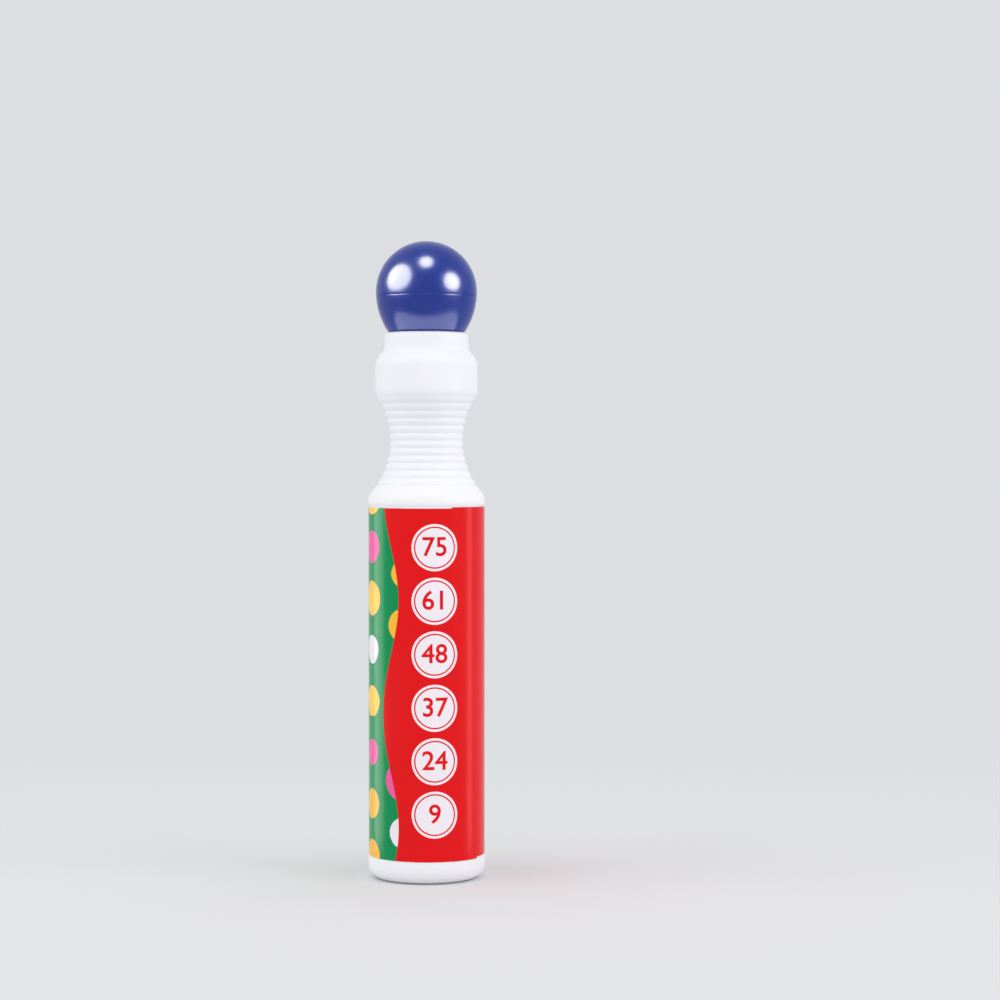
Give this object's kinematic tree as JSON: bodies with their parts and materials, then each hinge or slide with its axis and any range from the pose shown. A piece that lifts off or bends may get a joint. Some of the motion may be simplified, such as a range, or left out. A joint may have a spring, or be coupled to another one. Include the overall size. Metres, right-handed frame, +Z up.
{
  "type": "bingo dauber",
  "caption": "White bottle-shaped bingo dauber with a ribbed waist, a red and green wrap label, a blue ball cap and a sprung press nib.",
  "frame": {"origin": "centre of the standing ring under the base", "axes": "+Z up along the bottle's axis towards the ball cap, -Y towards the front of the label"},
  "size_m": [0.024, 0.024, 0.1307],
  "materials": {
    "bottle_white": "satin",
    "label_print": "gloss",
    "ink_blue": "gloss",
    "housing_white": "satin",
    "valve_plastic": "satin",
    "spring_steel": "satin",
    "nib_felt": "matte",
    "washer_rubber": "matte",
    "cap_blue": "gloss",
    "seal_foam": "matte"
  },
  "bodies": {
    "bottle": {"bottle": "bottle_white", "label": "label_print", "ink": "ink_blue", "nib_housing": "housing_white", "valve_cage": "valve_plastic", "valve_spring": "spring_steel"},
    "cap": {"cap_dome": "cap_blue", "cap_skirt": "cap_blue", "cap_sleeve": "housing_white", "cap_seal": "seal_foam"},
    "nib": {"felt_nib": "nib_felt", "nib_carrier": "valve_plastic", "valve_poppet": "valve_plastic", "valve_seal": "washer_rubber"}
  },
  "joints": [
    {"name": "cap_lift", "type": "slide", "parent": "bottle", "child": "cap", "axis": [0, 0, 1], "range_m": [0, 0.025]},
    {"name": "nib_press", "type": "slide", "parent": "bottle", "child": "nib", "axis": [0, 0, -1], "range_m": [0, 0.001], "stiffness_N_per_m": 200, "springref_m": -0.002, "deforming": ["valve_spring"]}
  ]
}
